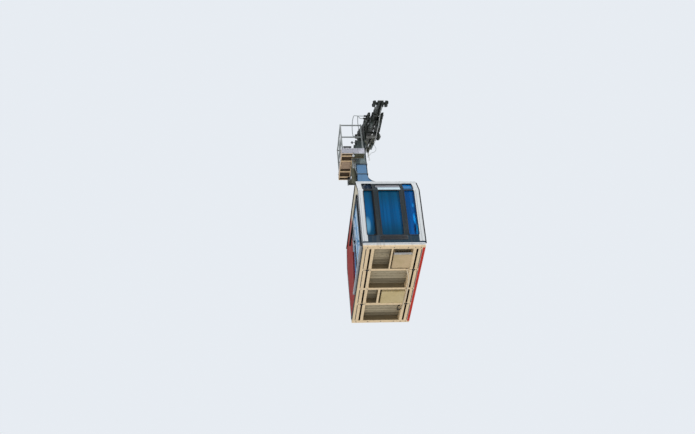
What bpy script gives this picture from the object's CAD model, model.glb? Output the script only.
"""Looks for the cable car cabin: finishes for its frame, small fittings, and a plain stage."""

from math import cos, pi, radians, sin

import bmesh
import bpy
from bpy.props import FloatProperty, FloatVectorProperty, PointerProperty
from bpy.types import NodeSocket, Operator, Panel, PropertyGroup
from mathutils import Euler, Matrix, Vector


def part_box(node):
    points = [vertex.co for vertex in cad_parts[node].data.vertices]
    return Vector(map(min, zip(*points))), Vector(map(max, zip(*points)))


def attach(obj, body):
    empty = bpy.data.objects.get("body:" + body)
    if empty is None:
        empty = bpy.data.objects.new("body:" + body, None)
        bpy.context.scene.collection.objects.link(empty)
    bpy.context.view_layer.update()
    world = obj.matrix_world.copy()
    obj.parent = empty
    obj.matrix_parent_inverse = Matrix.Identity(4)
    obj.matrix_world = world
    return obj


bl_info = {
    "name": "Cable car cabin",
    "version": (1, 0, 0),
    "blender": (4, 5, 0),
    "location": "View3D > Sidebar > Cabin",
    "description": "Dresses a cable car cabin, its hanger and its rope carriage",
    "category": "Object",
}

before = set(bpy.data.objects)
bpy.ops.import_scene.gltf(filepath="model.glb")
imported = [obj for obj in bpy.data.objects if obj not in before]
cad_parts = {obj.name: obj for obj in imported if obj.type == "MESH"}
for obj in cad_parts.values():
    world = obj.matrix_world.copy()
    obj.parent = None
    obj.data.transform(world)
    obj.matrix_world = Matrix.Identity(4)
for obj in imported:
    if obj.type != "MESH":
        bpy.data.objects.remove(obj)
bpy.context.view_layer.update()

# Directions that faces and fasteners look
LEFT, RIGHT, NEAR, ALONG, UP, DOWN = (-1, 0, 0), (1, 0, 0), (0, -1, 0), (0, 1, 0), (0, 0, 1), (0, 0, -1)
SIDES = (-1, 1)

# The cabin, in metres; heights are from the underside of its floor
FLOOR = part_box("floor_frame")[0].z
HALF_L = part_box("floor_frame")[1].y
HALF_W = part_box("roof")[1].x
KINK = 2.28
ROOF_TOP = 2.92
SLOPE = radians(30.68)
POST_X = HALF_W - 0.172
PANE_X = [(-HALF_W + 0.165, -0.505), (-0.355, 0.355), (0.505, HALF_W - 0.165)]
PANE_H = (0.44, 2.258)
BAND_S = (0.07, 0.56)
SLOT_S = (0.39, 0.46)
SIGN_HALF = 0.42
RAIL_X = 0.755
CROSS_YS = (-0.945, 0.158, 1.075)
TRAYS = ((0.022, 0.625, -1.831, -1.080), (-0.150, 0.625, 0.282, 0.985))
TRAY_LOW = -0.030

# The hanger's arm and the platform, in metres from the track rope
PIVOT_DROP = 0.170
PIVOT = Vector((0.0, 0.0, -PIVOT_DROP))
ARM_X = (-0.6645, -0.2995)
ARM_Y = 0.229
DARK_EDGE_X = -0.334
COLLAR_Z = -1.660
WALKWAY_X = -0.815
TOE_HEIGHTS = (-1.29, -1.46)

# The carriage, in its own frame: x across, y up the rope, z square to it
ROPE_TILT = radians(20.0)
ROPE = Matrix.Translation(
    (0, -PIVOT_DROP * sin(ROPE_TILT) * cos(ROPE_TILT), -PIVOT_DROP * sin(ROPE_TILT) ** 2)
) @ Matrix.Rotation(ROPE_TILT, 4, "X")
AXLE_N = 0.162
BEAM_X = 0.265
BEAM_TOP = 0.33
BRAKE_N = -0.166
WHEEL_TS = [-1.575 + 0.45 * i for i in range(8)]
ROCKER_TS = [-1.35, -0.45, 0.45, 1.35]
TRUCK_TS = [4.28 + 0.48 * i for i in range(4)]

SMOOTH_ANGLE = radians(35)


def srgb(red, green, blue):
    """Linear colour from the usual 0 to 255 values."""
    return tuple((c / 255 / 12.92) if c <= 10 else ((c / 255 + 0.055) / 1.055) ** 2.4 for c in (red, green, blue))


def colour(label, *rgb):
    """Setting for a paint or a tint."""
    return FloatVectorProperty(name=label, description=f"{label} colour", subtype="COLOR", size=3, min=0, max=1,
                               default=srgb(*rgb))


def length(label, default):
    """Setting for a size."""
    return FloatProperty(name=label, description=f"{label} in metres", unit="LENGTH", default=default, min=0.0)


def amount(label, note, default, subtype="NONE"):
    """Setting for an angle or a plain number."""
    return FloatProperty(name=label, description=note, subtype=subtype, default=default)


class CabinColours(PropertyGroup):
    """Paints and tints of the cabin, hanger and carriage."""

    white: colour("White coach paint", 222, 227, 231)
    red: colour("Red coach paint", 160, 44, 38)
    navy: colour("Navy lower band", 6, 46, 66)
    post: colour("Dark window post", 18, 36, 44)
    cream: colour("Floor frame paint", 246, 219, 178)
    boards: colour("Floor boards", 194, 180, 150)
    tray: colour("Tray paint", 212, 186, 146)
    glass: colour("End glass", 0, 96, 156)
    side_glass: colour("Side glass", 104, 184, 242)
    hanger: colour("Hanger paint", 96, 138, 178)
    drum: colour("Hanger head paint", 74, 86, 82)
    winch: colour("Rescue winch paint", 108, 108, 88)
    hose: colour("Hydraulic hose", 150, 158, 158)
    carriage: colour("Carriage paint", 34, 40, 34)
    platform: colour("Guard rails", 152, 158, 158)
    toe: colour("Toe board", 206, 208, 220)
    tan: colour("Platform underside", 238, 206, 164)
    aluminium: colour("Door frame", 196, 202, 208)
    steel: colour("Worn steel", 150, 150, 146)
    rubber: colour("Rubber", 22, 23, 24)


class CabinSizes(PropertyGroup):
    """Sizes of the small fittings."""

    seal_w: length("Width of window seals", 0.022)
    seal_t: length("Thickness of window seals", 0.007)
    bolt_r: length("Radius of bolt heads", 0.014)
    conduit_r: length("Radius of the floor conduit", 0.022)
    rivet_pitch: length("Spacing of the skirt's rivets", 0.18)


class StageSettings(PropertyGroup):
    """Camera, floor and light."""

    eye: FloatVectorProperty(name="Camera place", description="Where the camera stands", subtype="TRANSLATION",
                             size=3, default=(-5.303, -31.891, -28.164))
    yaw: amount("Yaw", "Turn from the +Y direction", -0.130272, "ANGLE")
    pitch: amount("Pitch", "Angle above the horizon", 0.647179, "ANGLE")
    roll: amount("Roll", "Tilt of the picture", -0.0852357, "ANGLE")
    focal_px: amount("Focal length", "In widths of one picture point", 1169.4)
    picture_w: amount("Picture width", "In picture points", 695.0)
    floor_drop: length("Floor below the camera", 0.12)
    key: amount("Key light", "Strength of the main light", 1.7)
    fill: amount("Fill light", "Strength of the light from below", 1.3)
    sky: amount("Soft light", "Strength of the light all round", 0.62)


# ---- shader groups


class Graph:
    """A shader node tree, with short calls for the nodes that the finishes share."""

    def __init__(self, tree):
        self.tree = tree

    def feed(self, socket, value):
        """Gives a socket a link, a number, a vector or a colour."""
        if isinstance(value, NodeSocket):
            self.tree.links.new(value, socket)
        elif isinstance(value, (int, float)):
            socket.default_value = value
        else:
            socket.default_value = (*tuple(value)[:3], 1.0)[:len(socket.default_value)]

    def fill(self, sockets, values):
        """Feeds several sockets by name or number."""
        for key, value in values.items():
            self.feed(sockets[key], value)

    def node(self, kind, inputs=None, **settings):
        """A new node with its settings and inputs."""
        made = self.tree.nodes.new(kind)
        for key, value in settings.items():
            setattr(made, key, value)
        self.fill(made.inputs, inputs or {})
        return made

    def maths(self, operation, first, *others):
        """Maths nodes in a row: the first value with each of the others."""
        for other in others:
            first = self.node("ShaderNodeMath", {0: first, 1: other}, operation=operation).outputs[0]
        return first

    def times(self, *values):
        return self.maths("MULTIPLY", *values)

    def plus(self, *values):
        return self.maths("ADD", *values)

    def minus(self, *values):
        return self.maths("SUBTRACT", *values)

    def most(self, *values):
        return self.maths("MAXIMUM", *values)

    def above(self, value, limit):
        return self.maths("GREATER_THAN", value, limit)

    def below(self, value, limit):
        return self.maths("LESS_THAN", value, limit)

    def unsigned(self, value):
        return self.maths("ABSOLUTE", value, 0)

    def ramp(self, source, low, high):
        """Smooth mask that rises from low to high."""
        return self.node("ShaderNodeMapRange", {"Value": source, "From Min": low, "From Max": high},
                         interpolation_type="SMOOTHSTEP").outputs["Result"]

    def blend(self, factor, first, second, mode="MIX"):
        """Colour mix of two sockets or colours."""
        return self.node("ShaderNodeMix", {0: factor, 6: first, 7: second}, data_type="RGBA",
                         blend_type=mode).outputs[2]

    def noise(self, vector, scale, detail=4.0, stretch=None):
        """Noise on a vector, stretched along the axes if asked."""
        if stretch:
            vector = self.node("ShaderNodeMapping", {"Vector": vector, "Scale": stretch}).outputs["Vector"]
        return self.node("ShaderNodeTexNoise", {"Vector": vector, "Scale": scale, "Detail": detail}).outputs["Fac"]


SURFACE = {"Colour": "NodeSocketColor", "Roughness": "NodeSocketFloat", "Height": "NodeSocketFloat"}
MASK = {"Mask": "NodeSocketFloat"}


def group(name, inputs, outputs):
    """A shader group: its graph, what it is given and what it puts out. A number is an input's default."""
    tree = bpy.data.node_groups.new(name, "ShaderNodeTree")
    for socket, value in inputs.items():
        number = isinstance(value, float)
        made = tree.interface.new_socket(socket, in_out="INPUT", socket_type="NodeSocketFloat" if number else value)
        if number:
            made.default_value = value
    for socket, kind in outputs.items():
        tree.interface.new_socket(socket, in_out="OUTPUT", socket_type=kind)
    graph = Graph(tree)
    return graph, graph.node("NodeGroupInput").outputs, graph.node("NodeGroupOutput").inputs


def weather_group():
    """Paint that has stood outside: cloudy tone, run-down streaks, dirt spots and a faint orange peel."""
    made, given, out = group("Outdoor paint", {
        "Vector": "NodeSocketVector", "Paint": "NodeSocketColor", "Dirt": "NodeSocketColor", "Dirt amount": 0.4,
        "Cloud scale": 2.0, "Gloss": 0.35,
    }, SURFACE)
    vector = given["Vector"]
    cloud = made.noise(vector, given["Cloud scale"])
    streak = made.ramp(made.noise(vector, 1.0, 5.0, (14, 14, 0.9)), 0.50, 0.72)
    spots = made.ramp(made.noise(vector, 26.0, 3.0), 0.60, 0.72)
    fine = made.noise(vector, 220.0, 2.0)
    tone = made.blend(made.times(cloud, 0.35), given["Paint"], (0.55, 0.55, 0.52), "MULTIPLY")
    dirt = made.times(made.most(made.times(streak, 0.7), spots), given["Dirt amount"])
    made.fill(out, {
        "Colour": made.blend(dirt, tone, given["Dirt"]),
        "Roughness": made.plus(given["Gloss"], made.times(made.plus(cloud, dirt), 0.22)),
        "Height": made.minus(made.times(fine, 0.4), dirt),
    })
    return made.tree


def grease_group():
    """Oily metal: dark pools, dull smears and bare bright scratches."""
    made, given, out = group("Greasy metal", {
        "Vector": "NodeSocketVector", "Metal": "NodeSocketColor", "Grease": "NodeSocketColor", "Grease amount": 0.6,
        "Wear": 0.3,
    }, SURFACE)
    vector = given["Vector"]
    pools = made.ramp(made.noise(vector, 7.0, 6.0), 0.42, 0.62)
    scratch = made.ramp(made.noise(vector, 9.0, 4.0, (1, 9, 1)), 0.60, 0.70)
    grain = made.noise(vector, 140.0, 3.0)
    greasy = made.blend(made.times(pools, given["Grease amount"]), given["Metal"], given["Grease"])
    made.fill(out, {
        "Colour": made.blend(made.times(scratch, given["Wear"]), greasy, (0.42, 0.41, 0.37)),
        "Roughness": made.minus(0.66, made.times(pools, 0.28)),
        "Height": made.plus(grain, made.times(pools, 0.8)),
    })
    return made.tree


def between_group():
    """Mask that is one while a value lies between two limits."""
    made, given, out = group("Between", {"Value": 0.0, "Low": 0.0, "High": 1.0}, MASK)
    above, below = made.above(given["Value"], given["Low"]), made.below(given["Value"], given["High"])
    made.feed(out["Mask"], made.times(above, below))
    return made.tree


def spot_group():
    """Soft oval mask round a centre on two measures."""
    made, given, out = group("Spot", {"Across": 0.0, "Up": 0.0, "Middle": 0.0, "Height": 0.0, "Half width": 0.1,
                                      "Half height": 0.1}, MASK)
    squares = []
    for value, centre, half in (("Across", "Middle", "Half width"), ("Up", "Height", "Half height")):
        off = made.maths("DIVIDE", made.minus(given[value], given[centre]), given[half])
        squares.append(made.times(off, off))
    made.feed(out["Mask"], made.ramp(made.plus(*squares), 1.0, 0.0))
    return made.tree


# ---- finishes


class Finish(Graph):
    """A material under construction: its shader, its Object coordinates and the colour laid on so far."""

    groups = {}

    def __init__(self, name, base=None, **shader):
        self.material = bpy.data.materials.new(name)
        self.material.use_nodes = True
        super().__init__(self.material.node_tree)
        self.base = base
        self.shader = self.tree.nodes["Principled BSDF"]
        self.fill(self.shader.inputs, {key.replace("_", " "): value for key, value in shader.items()})
        self.vector = self.node("ShaderNodeTexCoord").outputs["Object"]
        self.x, self.y, self.z = self.node("ShaderNodeSeparateXYZ", {0: self.vector}).outputs

    def effect(self, kind, **values):
        """A shared group with its own values."""
        return self.node("ShaderNodeGroup", {key.replace("_", " "): value for key, value in values.items()},
                         node_tree=Finish.groups[kind])

    def zone(self, value, low, high):
        """Mask between two limits."""
        return self.effect("between", Value=value, Low=low, High=high).outputs["Mask"]

    def spot(self, across, up, middle, height, half_width, half_height):
        """Soft oval mask."""
        return self.effect("spot", Across=across, Up=up, Middle=middle, Height=height, Half_width=half_width,
                           Half_height=half_height).outputs["Mask"]

    def disc(self, across, up, middle, height, radius):
        """Round mask with a hard edge."""
        return self.above(self.spot(across, up, middle, height, radius, radius), 0.001)

    def coat(self, mask, tone):
        """Lays a colour over the base where a mask says so."""
        self.base = self.blend(mask, self.base, tone)

    def worn(self, made, bump, distance=0.002, relief=None):
        """Feeds an effect's colour, roughness and height to the shader; relief adds to the height."""
        height = made.outputs["Height"] if relief is None else self.plus(made.outputs["Height"], relief)
        raised = self.node("ShaderNodeBump", {"Strength": bump, "Distance": distance, "Height": height})
        self.fill(self.shader.inputs, {"Base Color": made.outputs["Colour"], "Roughness": made.outputs["Roughness"],
                                       "Normal": raised.outputs["Normal"]})
        return self.material

    def weathered(self, dirt, share, cloud, gloss, bump, **relief):
        """Ends as outdoor paint."""
        return self.worn(self.effect("weather", Vector=self.vector, Paint=self.base, Dirt=dirt, Dirt_amount=share,
                                     Cloud_scale=cloud, Gloss=gloss), bump, **relief)

    def greased(self, grease, share, wear, bump):
        """Ends as oily metal."""
        return self.worn(self.effect("grease", Vector=self.vector, Metal=self.base, Grease=grease,
                                     Grease_amount=share, Wear=wear), bump)

    def pane(self, roughness):
        """Ends as glass with faint dust."""
        dust = self.ramp(self.noise(self.vector, 30.0, 3.0), 0.45, 0.9)
        self.fill(self.shader.inputs, {"Base Color": self.base,
                                       "Roughness": self.plus(self.times(dust, 0.08), roughness)})
        return self.material


DUST = (0.20, 0.17, 0.13)
SOOT = (0.02, 0.02, 0.018)
RUST = (0.16, 0.07, 0.03)


def paint(name, tone, dirt=DUST, share=0.3, cloud=1.5, gloss=0.32, bump=0.15, **shader):
    """Plain outdoor paint."""
    return Finish(name, tone, **shader).weathered(dirt, share, cloud, gloss, bump)


def oily(name, tone, share=0.6, wear=0.3, bump=0.3, grease=SOOT, **shader):
    """Plain oily metal."""
    return Finish(name, tone, **shader).greased(grease, share, wear, bump)


def end_wall_finish(colours):
    """White pillars and roof edge; dark posts, and a navy band below and between the panes."""
    made = Finish("end_wall_paint", colours.white, Specular_IOR_Level=0.25)
    kink = FLOOR + KINK
    panes = made.below(made.unsigned(made.x), POST_X)
    band = made.zone(made.z, kink + 0.02, FLOOR + 2.775)
    dark = made.times(panes, made.most(made.below(made.z, kink + 0.02), band))
    dark = made.most(dark, made.below(made.z, FLOOR + 0.20))
    made.coat(dark, made.blend(made.below(made.z, FLOOR + PANE_H[0]), colours.post, colours.navy))
    right_kink = made.times(made.zone(made.z, kink - 0.03, kink + 0.075), made.zone(made.x, PANE_X[2][0], POST_X))
    made.coat(right_kink, srgb(6, 78, 124))
    return made.weathered(DUST, share=0.2, cloud=1.6, gloss=0.42, bump=0.12)


def side_wall_finish(colours):
    """White above, red rear third with a slanting edge, a top rail that turns from cream to red, a red skirt right."""
    made = Finish("side_wall_paint", colours.white, Specular_IOR_Level=0.1)
    height = made.minus(made.z, FLOOR)
    slant = made.plus(made.y, made.times(made.minus(height, 1.67), 0.361))
    rear = made.above(slant, 0.25)
    right = made.above(made.x, 0.0)
    left = made.minus(1.0, right)
    made.coat(made.most(rear, made.times(made.below(height, 0.86), right)), colours.red)
    made.coat(made.times(right, made.below(height, 0.12)), srgb(204, 60, 46))
    rail = made.blend(rear, srgb(224, 216, 194), srgb(196, 120, 112))
    rail = made.blend(made.ramp(made.y, 0.1, 1.5), rail, colours.red)
    made.coat(made.times(left, made.above(height, 2.15)), rail)
    made.coat(made.times(left, made.below(height, 0.20)), srgb(66, 70, 70))
    made.coat(made.times(made.below(height, 0.003), made.zone(made.x, -0.994, -0.894)), colours.cream)
    corner = made.times(left, made.zone(height, 0.20, 2.20))
    for start, stop, tone in ((-2.16, -2.07, srgb(184, 188, 194)), (-2.07, -2.0, srgb(24, 42, 62)),
                              (-2.26, -2.16, srgb(30, 36, 40))):
        made.coat(made.times(corner, made.zone(made.y, start, stop)), tone)
    made.coat(made.below(made.unsigned(made.x), HALF_W - 0.085), colours.white)
    return made.weathered(DUST, share=0.2, cloud=1.3, gloss=0.58, bump=0.12)


def frame_finish(colours):
    """Cream underframe: white above on its end faces, stained brown inside, black between the paired rails."""
    made = Finish("underframe_paint", colours.cream, Specular_IOR_Level=0.3)
    across, along = made.unsigned(made.x), made.unsigned(made.y)
    end_face = made.above(along, HALF_L - 0.001)
    made.coat(made.times(end_face, made.ramp(made.z, FLOOR + 0.02, FLOOR + 0.075)), colours.white)
    inward = made.below(along, HALF_L - 0.02)
    made.coat(made.times(made.below(across, 0.600), inward, made.above(made.z, FLOOR + 0.012)), srgb(122, 108, 82))
    made.coat(made.times(made.zone(across, 0.7245, 0.7855), made.above(made.z, FLOOR + 0.004), inward),
              srgb(34, 29, 22))
    return made.weathered((0.16, 0.12, 0.08), share=0.4, cloud=2.6, gloss=0.5, bump=0.25)


def boards_finish(colours):
    """Ribbed floor boards with stained ribs, darker before each cross member."""
    made = Finish("board_finish", colours.boards, Specular_IOR_Level=0.25)
    rib = made.node("ShaderNodeTexWave", {"Vector": made.vector, "Scale": 5.2, "Distortion": 0.25, "Detail": 1.0},
                    bands_direction="Y").outputs["Fac"]
    stain = made.noise(made.vector, 1.0, 4.0, (0.5, 9, 1))
    made.coat(made.times(rib, 0.35), (0.26, 0.22, 0.16))
    made.coat(made.times(made.ramp(stain, 0.4, 0.7), 0.45), (0.17, 0.14, 0.10))
    for member in (-1.02, 0.08, 1.0, 2.13):
        made.coat(made.times(made.zone(made.y, member - 0.26, member), 0.6), srgb(92, 82, 62))
    return made.weathered((0.08, 0.06, 0.04), share=0.45, cloud=4.0, gloss=0.6, bump=0.5, distance=0.004, relief=rib)


def tray_finish(colours):
    """Tan trays with yellow clouds; the first one's near face is white."""
    made = Finish("tray_finish", Specular_IOR_Level=0.3)
    first = made.blend(made.ramp(made.noise(made.vector, 2.6, 3.0), 0.40, 0.75), colours.tray, srgb(190, 170, 124))
    second = made.blend(made.ramp(made.noise(made.vector, 2.2, 3.0), 0.35, 0.7), srgb(208, 187, 136),
                        srgb(216, 196, 148))
    made.base = made.blend(made.below(made.y, -0.5), second, first)
    near = made.times(made.zone(made.y, -1.8315, -1.8305), made.below(made.z, FLOOR + 0.052))
    made.coat(near, srgb(236, 238, 242))
    return made.weathered((0.25, 0.18, 0.10), share=0.3, cloud=3.0, gloss=0.5, bump=0.2)


def platform_finish(colours):
    """Lilac grey toe board, tan below the walkway and grey green below the front part."""
    made = Finish("toe_board_paint", srgb(126, 112, 92), Specular_IOR_Level=0.3)
    made.coat(made.most(made.below(made.y, -0.596), made.above(made.z, -1.44)), colours.toe)
    made.coat(made.below(made.x, -1.2155), srgb(208, 194, 184))
    underside = made.blend(made.above(made.x, WALKWAY_X), colours.tan, srgb(122, 128, 116))
    made.coat(made.below(made.z, -1.493), underside)
    return made.weathered(RUST, share=0.3, cloud=3.0, gloss=0.5, bump=0.2)


def deck_finish(colours):
    """Brown deck below the walkway, olive below the front part, grey tread above."""
    made = Finish("platform_deck_paint", srgb(78, 62, 46), Specular_IOR_Level=0.25)
    made.coat(made.above(made.x, WALKWAY_X), srgb(96, 98, 80))
    made.coat(made.above(made.z, -1.425), srgb(128, 128, 124))
    return made.weathered(RUST, share=0.4, cloud=4.0, gloss=0.6, bump=0.4)


def hanger_finish(colours):
    """Blue arm and foot with dark clamps round it and a dark right edge that runs into the flare."""
    made = Finish("hanger_paint", colours.hanger, Specular_IOR_Level=0.3)
    made.coat(made.most(made.zone(made.z, -2.126, -2.094), made.zone(made.z, -1.690, -1.630)), srgb(84, 98, 104))
    flare = made.disc(made.x, made.z, 0.0005, -2.10, 0.338)
    edge = made.times(made.above(made.x, DARK_EDGE_X), made.above(made.z, -2.11))
    made.coat(made.most(flare, edge), srgb(34, 46, 58))
    return made.weathered((0.10, 0.12, 0.14), share=0.3, cloud=1.2, gloss=0.42, bump=0.15)


def head_finish(colours):
    """Grey green head, paler towards the arm, with a black oily drum."""
    made = Finish("hanger_head_paint", colours.drum, Specular_IOR_Level=0.35)
    made.coat(made.ramp(made.z, -0.55, -1.25), srgb(120, 134, 136))
    drum = made.disc(made.y, made.z, PIVOT.y, PIVOT.z, 0.47)
    made.coat(made.times(drum, made.above(made.x, -0.505)), srgb(32, 34, 31))
    made.coat(made.times(made.above(made.x, DARK_EDGE_X), made.below(made.z, -0.6)), srgb(40, 48, 54))
    return made.greased(SOOT, share=0.35, wear=0.12, bump=0.2)


def carriage_finish(colours):
    """Smooth green black, with a pale smear on the left beam and an olive, mottled tail."""
    made = Finish("carriage_paint", colours.carriage, Specular_IOR_Level=0.3)
    narrow = made.below(made.unsigned(made.x), 0.2)
    mottle = made.ramp(made.noise(made.vector, 11.0, 4.0), 0.42, 0.62)
    made.coat(made.times(narrow, made.ramp(made.y, -0.15, 0.25), mottle), srgb(104, 104, 84))
    smear = made.times(made.spot(made.y, made.z, -0.58, -0.05, 0.26, 0.17), made.below(made.x, -0.24), 0.7)
    made.coat(smear, srgb(120, 130, 122))
    return made.greased(SOOT, share=0.35, wear=0.06, bump=0.12)


def leaf_finish(colours):
    """Door leaf: pale frame with dark edges and a dark band below its head."""
    made = Finish("door_leaf_paint", colours.aluminium, Specular_IOR_Level=0.2)
    head = made.above(made.minus(made.z, FLOOR), 2.02)
    made.coat(made.most(made.zone(made.y, -2.2, -1.955), made.zone(made.y, -0.60, -0.5), head), srgb(44, 56, 64))
    made.coat(made.zone(made.y, -1.955, -1.92), srgb(136, 146, 156))
    return made.weathered(DUST, share=0.2, cloud=2.0, gloss=0.5, bump=0.12)


def side_glass_finish(colours):
    """Tinted side panes that let some light through."""
    made = Finish("side_glass_tint", colours.side_glass, Transmission_Weight=0.25, IOR=1.45, Specular_IOR_Level=0.03)
    made.coat(made.times(made.noise(made.vector, 1.1, 3.0), 0.2), [0.55 * c for c in colours.side_glass])
    return made.pane(0.05)


def end_glass_finish(colours):
    """Deep blue end panes: darker at head and foot, a pale bloom low on one side, bright streaks on the other."""
    made = Finish("end_glass_tint", srgb(0, 84, 122), Transmission_Weight=0.18, IOR=1.45, Specular_IOR_Level=0.05)
    height = made.minus(made.z, FLOOR)
    drift = made.minus(made.noise(made.vector, 2.4, 2.0), 0.5)
    across = made.plus(made.x, made.times(drift, 0.05))
    left, right = made.below(made.x, -0.43), made.above(made.x, 0.43)
    made.coat(made.ramp(height, 2.25, 1.40), colours.glass)
    made.coat(made.ramp(height, 1.20, 0.50), srgb(0, 76, 112))
    made.coat(right, srgb(0, 94, 172))
    folds = made.ramp(made.noise(made.vector, 1.0, 3.0, (11, 1, 0.3)), 0.42, 0.66)
    made.coat(made.times(folds, 0.35), srgb(0, 44, 78))
    made.coat(made.times(left, made.ramp(made.x, -0.60, -0.53)), srgb(4, 26, 40))
    for middle, up, half_width, half_height, tone in (
        (-0.785, 0.86, 0.13, 0.40, srgb(104, 172, 212)), (0.748, 1.12, 0.052, 0.27, srgb(12, 160, 250)),
        (0.735, 0.70, 0.040, 0.26, srgb(6, 26, 60)), (0.800, 0.70, 0.030, 0.34, srgb(20, 160, 235)),
        (0.750, 1.66, 0.050, 0.11, srgb(20, 140, 225)),
    ):
        made.coat(made.spot(across, height, middle, up, half_width, half_height), tone)
    slope = made.blend(made.ramp(height, KINK, KINK + 0.45), srgb(14, 136, 200), srgb(0, 110, 184))
    slope = made.blend(left, slope, srgb(36, 50, 68))
    slope = made.blend(made.spot(made.x, height, -0.735, KINK + 0.445, 0.040, 0.034), slope, srgb(210, 214, 214))
    made.coat(made.above(height, KINK + 0.012), slope)
    return made.pane(0.04)


MATERIALS = {}


def make_finishes(colours):
    """Builds every material once."""
    Finish.groups = {"weather": weather_group(), "grease": grease_group(), "between": between_group(),
                     "spot": spot_group()}
    MATERIALS.update({
        "end_wall": end_wall_finish(colours),
        "side_wall": side_wall_finish(colours),
        "white": paint("white_coach_paint", colours.white, share=0.25),
        "roof": paint("roof_paint", colours.white, share=0.45, gloss=0.4),
        "frame": frame_finish(colours),
        "cream": paint("conduit_paint", srgb(228, 210, 180)),
        "boards": boards_finish(colours),
        "tray": tray_finish(colours),
        "glass": end_glass_finish(colours),
        "side_glass": side_glass_finish(colours),
        "hanger": hanger_finish(colours),
        "head": head_finish(colours),
        "winch": paint("winch_paint", colours.winch, (0.03, 0.03, 0.02), share=0.75, cloud=9.0, gloss=0.55, bump=0.5),
        "hose": paint("hose_rubber", colours.hose, SOOT, share=0.2, cloud=4.0, gloss=0.5),
        "collar": paint("collar_paint", srgb(70, 86, 98), SOOT, share=0.4),
        "drum": oily("drum_paint", colours.drum, share=0.45, wear=0.25),
        "carriage": carriage_finish(colours),
        "platform": platform_finish(colours),
        "rails": paint("guard_rail_zinc", colours.platform, RUST, cloud=3.0, gloss=0.42, Metallic=0.35),
        "deck": deck_finish(colours),
        "brown": paint("platform_panel_paint", srgb(182, 154, 128), (0.05, 0.04, 0.03), cloud=4.0, gloss=0.5),
        "pale": paint("blank_panel_pale", srgb(206, 228, 240), share=0.12),
        "grey": paint("blank_panel_grey", srgb(150, 153, 162), share=0.2),
        "grille": paint("louvre_paint", srgb(46, 48, 52), SOOT, share=0.4),
        "aluminium": paint("door_aluminium", colours.aluminium, share=0.2, cloud=2.0, gloss=0.3, Metallic=0.55),
        "leaf": leaf_finish(colours),
        "steel": oily("worn_steel", colours.steel, share=0.5, wear=0.5, Metallic=0.75),
        "dull": oily("dull_steel", srgb(92, 94, 88), share=0.55, wear=0.1, bump=0.2, Metallic=0.3),
        "strap": paint("strap_zinc", srgb(222, 224, 222), SOOT, share=0.15, cloud=3.0, gloss=0.4),
        "bright": oily("bright_steel", srgb(205, 206, 204), share=0.25, grease=(0.1, 0.1, 0.1), Metallic=0.6),
        "rubber": paint("rubber", colours.rubber, (0.09, 0.085, 0.08), share=0.4, cloud=6.0, gloss=0.6, bump=0.3),
        "void": paint("trim_black", srgb(16, 20, 24), SOOT, share=0.4, cloud=2.0, gloss=0.6, Specular_IOR_Level=0.2),
        "mat": paint("floor_mat", srgb(70, 72, 74), SOOT, share=0.4, cloud=8.0, gloss=0.7, bump=0.6),
    })


# The finish of each frame piece; the others are wheels of dull steel and parts in carriage paint
NODE_FINISH = {
    "floor_frame": "frame", "floor_deck": "boards", "under_trays": "tray", "end_wall_near": "end_wall",
    "end_wall_far": "end_wall", "end_glass_near": "glass", "end_glass_far": "glass", "side_wall_left": "side_wall",
    "side_wall_right": "side_wall", "side_glass_left": "side_glass", "side_glass_right": "side_glass",
    "door_leaf": "leaf", "door_glass": "side_glass", "door_lock": "steel", "door_track": "void",
    "door_guide": "aluminium", "roof": "roof", "roof_beams": "cream", "dampers": "rubber", "hanger": "hanger",
    "hanger_head": "head", "hanger_rungs": "steel", "cabin_handrails": "bright", "platform_frame": "platform",
    "platform_deck": "deck", "platform_rails": "rails", "pivot_axle": "steel", "hoses": "hose",
    "hose_couplings": "rubber", "hanger_winch": "winch",
}


# ---- modelling helpers


def deselect():
    """Leaves edit mode and selects nothing."""
    if bpy.context.mode != "OBJECT":
        bpy.ops.object.mode_set(mode="OBJECT")
    bpy.ops.object.select_all(action="DESELECT")


def only(obj):
    """Makes obj the one selected and active object."""
    deselect()
    obj.select_set(True)
    bpy.context.view_layer.objects.active = obj


def edit(obj, kind="FACE", action="DESELECT"):
    """Opens obj in edit mode with nothing or everything selected."""
    only(obj)
    bpy.ops.object.mode_set(mode="EDIT")
    bpy.ops.mesh.select_mode(type=kind)
    bpy.ops.mesh.select_all(action=action)


def leave(obj):
    """Leaves edit mode and returns obj."""
    bpy.ops.object.mode_set(mode="OBJECT")
    return obj


def settled(obj):
    """Applies the place, turn and size of obj, the one selected object, to its mesh."""
    bpy.ops.object.transform_apply(location=True, rotation=True, scale=True)
    return obj


def moved(obj, matrix):
    """Moves obj's mesh."""
    obj.data.transform(matrix)
    return obj


def copied(obj, matrix):
    """A copy of obj with a mesh of its own, moved by a matrix."""
    copy = bpy.data.objects.new(obj.name, obj.data.copy())
    bpy.context.scene.collection.objects.link(copy)
    return moved(copy, matrix)


def pick_faces(obj, normal, least=0.9):
    """Selects the faces that look along a direction."""
    mesh = bmesh.from_edit_mesh(obj.data)
    way = Vector(normal)
    for face in mesh.faces:
        face.select_set(face.normal.dot(way) > least)
    bmesh.update_edit_mesh(obj.data)


def push(amount):
    """Extrudes the selected faces by a vector."""
    bpy.ops.mesh.extrude_region_move(TRANSFORM_OT_translate={"value": tuple(amount)})


def at_height(x, y, height):
    """World point of the cabin at a height above the underside of its floor."""
    return Vector((x, y, FLOOR + height))


def block(one, other, bevel=0.004):
    """A box between two opposite corners with rounded edges."""
    low = Vector([min(pair) for pair in zip(one, other)])
    high = Vector([max(pair) for pair in zip(one, other)])
    deselect()
    bpy.ops.mesh.primitive_cube_add(size=1, location=(low + high) / 2)
    obj = bpy.context.object
    obj.scale = high - low
    edit(settled(obj), "EDGE", "SELECT")
    bpy.ops.mesh.bevel(offset=min(bevel, min(high - low) * 0.4), segments=2, affect="EDGES")
    return leave(obj)


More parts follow.
